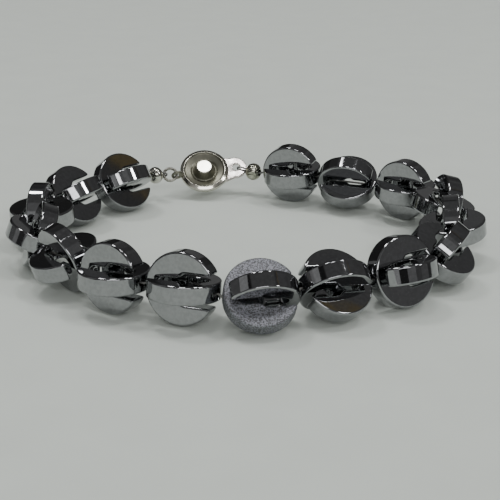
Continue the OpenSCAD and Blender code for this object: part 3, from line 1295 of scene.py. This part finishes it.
@dataclass
class ThreadLine:
    """The string: through every bore, with a loop at each end, twisted of two strands.

    Lay is the length of one whole twist. The gaps are between each silver bead and the disc
    beside it, and the sags are how far the string drops there.
    """

    diameter: float = 0.35
    lay: float = 1.1
    step: float = 0.14
    loop_room: float = 0.45
    loop_arc: float = 138.0
    touch: float = 0.1
    sag: float = 0.3
    large_sag: float = 0.15
    small_gap: float = 1.35
    large_gap: float = 1.0

    def ends(self, string: BeadString, clasp: Clasp, small: SilverBead,
             large: SilverBead) -> tuple[ThreadEnd, ThreadEnd]:
        """Find where the string leaves the beads, its end loops, and the silver beads.

        Args:
            string: The string of beads.
            clasp: The clasp.
            small: The silver bead at the ring's end.
            large: The silver bead at the tab's end.

        Returns:
            The end with the small bead and the end with the large one.
        """
        places = string.places()
        first, last = places[0], places[-1]
        dish = clasp.frame_at(clasp.dish_turn, places)
        tab = clasp.frame_at(clasp.tab_turn, places)
        first_exit = first.at(-(string.reach + self.touch))
        last_exit = last.at(string.reach + self.touch) - [0, 0, self.sag]
        ring_pull = dish.directions(turn("z", -clasp.ring_swing)[:, 0])
        eye = dish.at(clasp.eye_x, z=clasp.eye_z)
        ring_hold = eye - (2 * clasp.ring_r + clasp.ring_slack) * ring_pull
        # Half the width of the tab between its hole and its end, which the loop goes round
        strip = (clasp.tab_end_x + clasp.tab_end_r - clasp.hole_x - clasp.hole_d / 2) / 2
        tab_pull = tab.directions(turn("z", clasp.tab_pull_turn) @ [-1, 0, 0])
        hole = tab.at(clasp.hole_x, z=clasp.plate_z + clasp.plate_t / 2)
        tab_hold = hole - (clasp.hole_d / 2 + strip) * tab_pull
        small_axis = unit(ring_hold - first_exit)
        small_at = first_exit + (self.small_gap + small.length / 2) * small_axis
        large_at = last_exit + (self.large_gap + large.length / 2) * unit(tab_hold - last_exit)
        large_at = large_at - [0, 0, self.large_sag]
        large_axis = unit(tab_hold - large_at)
        wire_room = clasp.wire / 2 + 0.7 * self.loop_room
        plate_room = clasp.plate_t / 2 + self.loop_room
        out = dish.rotation[:, 2]
        small_oval = self.oval(ring_hold, wire_room * ring_pull, wire_room * out)
        large_oval = self.oval(tab_hold, (strip + self.loop_room) * tab_pull, plate_room * out)
        small_loop = self.loop(small_at, small_axis, small.length / 2, small_oval, out)
        large_loop = self.loop(large_at, large_axis, large.length / 2, large_oval, out)
        return (ThreadEnd(small_at, small_axis, first_exit, small_loop),
                ThreadEnd(large_at, large_axis, last_exit, large_loop))

    def oval(self, hold: np.ndarray, into: np.ndarray, out: np.ndarray) -> np.ndarray:
        """Give the turn of an end loop round the metal that holds it.

        Args:
            hold: The middle of the metal's section.
            into: The oval's half width, as a vector away from the bead.
            out: The oval's half height, as a vector out of the clasp's face.

        Returns:
            Points hold + into * cos a + out * sin a, open towards the bead.
        """
        a = np.radians(np.linspace(self.loop_arc, -self.loop_arc, 17))[:, None]
        return hold + np.cos(a) * into + np.sin(a) * out

    def loop(self, at: np.ndarray, ahead: np.ndarray, half: float, oval: np.ndarray,
             out: np.ndarray) -> np.ndarray:
        """Give the points of an end loop: out of the bead, round the metal, and back.

        Args:
            at: The silver bead's middle.
            ahead: Its axis, towards the metal.
            half: Half its length.
            oval: The turn round the metal.
            out: Unit direction in which the loop's two strands lie apart.

        Returns:
            The points, from the bead's middle to just past its other end.
        """
        rise = (self.diameter / 2 + 0.05) * out
        face = at + half * ahead
        tail = [at - 0.8 * rise, at - (half + 0.1) * ahead]
        return np.vstack([at + rise, face + rise, oval, face - rise, *tail])

    def route(self, string: BeadString, ends: tuple[ThreadEnd, ThreadEnd]) -> np.ndarray:
        """Give the whole route's corner points.

        Args:
            string: The string of beads.
            ends: What ends gives.

        Returns:
            The points, straight in the bores and slanting from each mouth to the next.
        """
        inner = string.reach - string.disc.bridge - self.touch
        stops = np.array([-string.reach, -inner, inner, string.reach])
        marks = np.column_stack([stops, 0 * stops, 0 * stops])
        found = np.array([place.points(marks) for place in string.places()])
        low, low_in, high_in, high = found.swapaxes(0, 1)
        # The mouths' points move towards each other, by this share of the gap
        share = 0.35
        gap = low[1:] - high[:-1]
        high[:-1] += share * gap
        low[1:] -= share * gap
        high[-1] -= [0, 0, self.sag]
        run = np.stack([low, low_in, high_in, high], axis=1).reshape(-1, 3)
        small, large = ends
        return np.vstack([small.loop, small.exit, run, large.exit, large.loop[::-1]])

    def shape(self, route: np.ndarray) -> Shape:
        """Carry a two-lobed section along the route, turning once in each lay length.

        The section's radius at angle t is the thread's radius times 0.78 + 0.22 * |cos t|.

        Args:
            route: The route's corner points.

        Returns:
            The closed thread.
        """
        length = np.linalg.norm(np.diff(route, axis=0), axis=1).sum()
        stations = np.linspace(0, length, int(length / self.step))
        path = resampled(route, stations)
        for _ in range(2):
            path[1:-1] = (path[:-2] + 2 * path[1:-1] + path[2:]) / 4
        t = np.linspace(0, 2 * np.pi, 12, endpoint=False)
        radius = self.diameter / 2 * (0.78 + 0.22 * np.abs(np.cos(t)))
        section = np.stack([radius * np.cos(t), radius * np.sin(t)], axis=1)
        return swept(path, section, spin=2 * np.pi * stations / self.lay)


# The studio


@dataclass(frozen=True)
class Lamp:
    """A rectangular lamp far off in some direction, seen as a patch of so many degrees."""

    name: str
    azimuth: float
    elevation: float
    width: float
    height: float
    radiance: float
    mirrored: bool = True
    distance: float = 1.5

    def hang(self) -> None:
        """Put the lamp in the scene, turned to the bracelet."""
        data = bpy.data.lights.new(self.name, "AREA")
        data.shape = "RECTANGLE"
        data.size = 2 * self.distance * math.tan(math.radians(self.width / 2))
        data.size_y = 2 * self.distance * math.tan(math.radians(self.height / 2))
        data.energy = self.radiance * math.pi * data.size * data.size_y
        lamp = bpy.data.objects.new(self.name, data)
        lamp.location = Vector(compass(self.azimuth, self.elevation)) * self.distance
        lamp.rotation_euler = lamp.location.to_track_quat("Z", "Y").to_euler()
        lamp.visible_glossy = self.mirrored
        bpy.context.scene.collection.objects.link(lamp)


def compass(azimuth: float, elevation: float) -> tuple[float, float, float]:
    """Give a direction. Azimuth 0 points away from the camera and 90 to its right."""
    a, e = math.radians(azimuth), math.radians(elevation)
    return math.sin(a) * math.cos(e), math.cos(a) * math.cos(e), math.sin(e)


@dataclass(frozen=True)
class Band:
    """An upright band of the room that starts at an azimuth: its low part and its high part."""

    start: float
    low: float
    high: float
    high_tint: Colour = (1.0, 1.0, 1.0)

    def colour(self, level: str) -> Colour:
        """Give the colour of one part of the band.

        Args:
            level: "low" or "high".

        Returns:
            The colour.
        """
        if level == "low":
            return self.low, self.low, self.low
        return tuple(self.high * part for part in self.high_tint)


# The dim room that the polished discs mirror, from behind the camera round by its left
ROOM = (
    Band(-180, 0.03, 0.14),
    Band(-168, 0.40, 0.19),
    Band(-140, 0.20, 0.14),
    Band(-132, 0.05, 0.025),
    Band(-111, 0.26, 0.38),
    Band(-92, 0.13, 0.09),
    Band(-66, 0.19, 0.14),
    Band(-58, 0.03, 0.06),
    Band(-12, 0.03, 0.05),
    Band(-2, 0.13, 0.10),
    Band(20, 0.05, 0.08),
    Band(34, 0.08, 0.12),
    Band(44, 0.10, 0.10),
    Band(66, 0.09, 0.11),
    Band(86.6, 0.08, 0.17, (1.0, 0.78, 0.40)),
    Band(88, 0.06, 0.07),
    Band(97, 0.14, 0.11),
    Band(122, 0.10, 0.16),
    Band(140, 0.20, 0.24),
    Band(166, 0.03, 0.16),
)


@dataclass
class Studio:
    """Pale floor, soft lamps in a dim room, and the camera at the photograph's angle.

    Low_top and high_top are the elevations at which the room's low and high parts end.
    """

    camera_at: tuple[float, float, float] = (0.85, -165.26, 62.7)
    camera_pitch: float = 20.62
    focal_pixels: float = 1123.0
    floor_colour: Colour = (0.60, 0.64, 0.595)
    floor_side: float = 1500.0
    floor_back: float = 2500.0
    ceiling: float = 0.115
    low_top: float = 27.0
    high_top: float = 56.0

    def floor(self) -> None:
        """Lay a large plain floor whose top is the surface that the bracelet lies on."""
        nodes = MaterialNodes("pale_floor")
        pale = tuple(1.03 * part for part in self.floor_colour)
        colour = nodes.ramp(nodes.noise(9), [(0.3, self.floor_colour), (0.7, pale)])
        material = nodes.finished({"Base Color": colour, "Roughness": 0.9})
        side, back = self.floor_side, self.floor_back
        corners = np.array([[-side, -side, 0], [side, -side, 0], [side, back, 0], [-side, back, 0]])
        Shape(corners, [np.array([[0, 1, 2, 3]])]).piece("floor", material)

    def lights(self) -> None:
        """Hang the lamps. The last two light the floor only, and no disc mirrors them."""
        lamps = (
            Lamp("back_left", -52, 68, 9, 9, 22.0),
            Lamp("right", 114, 40, 9, 5, 30.0),
            Lamp("overhead_right", 92, 67, 9, 6, 24.0),
            Lamp("overhead", -175, 83.5, 10, 9, 13.0),
            Lamp("window", 176, 29, 36, 12, 4.5),
            Lamp("fill", 20, 80, 100, 100, 0.46, mirrored=False),
            Lamp("front_fill", 180, 25, 80, 30, 1.2, mirrored=False),
        )
        for lamp in lamps:
            lamp.hang()

    def room(self) -> None:
        """Build the world: bands of a low and a high wall, and a plain ceiling above.

        Each band is sharp at its sides. Above each level the next one comes over five degrees.
        """
        world = bpy.data.worlds.new("room")
        world.use_nodes = True
        nodes = Nodes(world.node_tree)
        way = nodes.node("TexCoord", {}).outputs["Generated"]
        parts = nodes.node("SeparateXYZ", {0: way}).outputs
        angle = nodes.node("Math", {0: parts["X"], 1: parts["Y"]})
        angle.operation = "ARCTAN2"
        share = nodes.spread(angle.outputs[0], -math.pi, math.pi)
        walls = []
        for level in ("low", "high"):
            stops = [((band.start + 180) / 360, band.colour(level)) for band in ROOM]
            walls.append(nodes.ramp(share, stops, "CONSTANT"))
        ceiling = nodes.node("RGB", {}).outputs["Color"]
        ceiling.default_value = (self.ceiling, self.ceiling, self.ceiling, 1)
        colour = walls[0]
        for elevation, over in ((self.low_top, walls[1]), (self.high_top, ceiling)):
            ends = [math.sin(math.radians(elevation + side)) for side in (-2.5, 2.5)]
            step = nodes.spread(parts["Z"], *ends, form="SMOOTHSTEP")
            colour = nodes.blend(step, colour, over)
        nodes.feed(nodes.tree.nodes["Background"], {"Color": colour})
        bpy.context.scene.world = world

    def camera(self) -> None:
        """Set the camera: no shift, level, pitched down. The picture is 500 pixels wide."""
        data = bpy.data.cameras.new("photo_view")
        data.sensor_width = 36.0
        data.lens = data.sensor_width * self.focal_pixels / 500
        data.clip_start = 0.01
        camera = bpy.data.objects.new("photo_view", data)
        camera.location = tuple(c * MM for c in self.camera_at)
        camera.rotation_euler = (math.radians(90 - self.camera_pitch), 0, 0)
        bpy.context.scene.collection.objects.link(camera)
        bpy.context.scene.camera = camera


def main() -> None:
    """Build the studio, the string of beads, the thread and the clasp."""
    logging.basicConfig(level=logging.INFO, format="%(name)s: %(message)s")
    studio = Studio()
    studio.camera()
    studio.floor()
    studio.lights()
    studio.room()
    string = BeadString()
    string.build({polish: finish.material(polish) for polish, finish in HEMATITE.items()})
    clasp = Clasp()
    small = SilverBead("bead_silver_small", 3.0, 2.1, depth=0.0)
    large = SilverBead("bead_silver_large", 3.1, 2.7, flutes=14)
    line = ThreadLine()
    ends = line.ends(string, clasp, small, large)
    silver = SILVER.material()
    bead = small.shape(ends[0].middle, ends[0].axis)
    settled(bead.piece("plain_bead_small", silver), "silver", small.node)
    dark = DARK_SILVER.material()
    bead = large.shape(ends[1].middle, ends[1].axis)
    settled(bead.piece("fluted_bead_large", dark), "silver", large.node)
    places = string.places()
    dish_place = clasp.frame_at(clasp.dish_turn, places)
    tab_place = clasp.frame_at(clasp.tab_turn, places)
    nickel = NICKEL.material()
    dish = clasp.dish()
    stud = dish.placed(dish_place).piece("stud_dish", nickel)
    # The dish's hollow takes the nickel's darker colour, painted shade
    marked(stud, clasp.polished(dish.points))
    settled(stud, "nickel", "clasp_dish")
    settled(clasp.eye().placed(dish_place).piece("stud_eye", nickel), "nickel")
    tab = clasp.tab().placed(tab_place).piece("stud_tab", BRIGHT_PLATE.material())
    settled(tab, "silver", "clasp_tab")
    ring = clasp.ring(dish_place).piece("split_ring", TARNISHED.material())
    settled(ring, "tarnished_wire", "wire_ring")
    thread = line.shape(line.route(string, ends)).piece("twisted_thread", ThreadFinish().material())
    settled(thread, "thread", "thread")


if __name__ == "__main__":
    main()
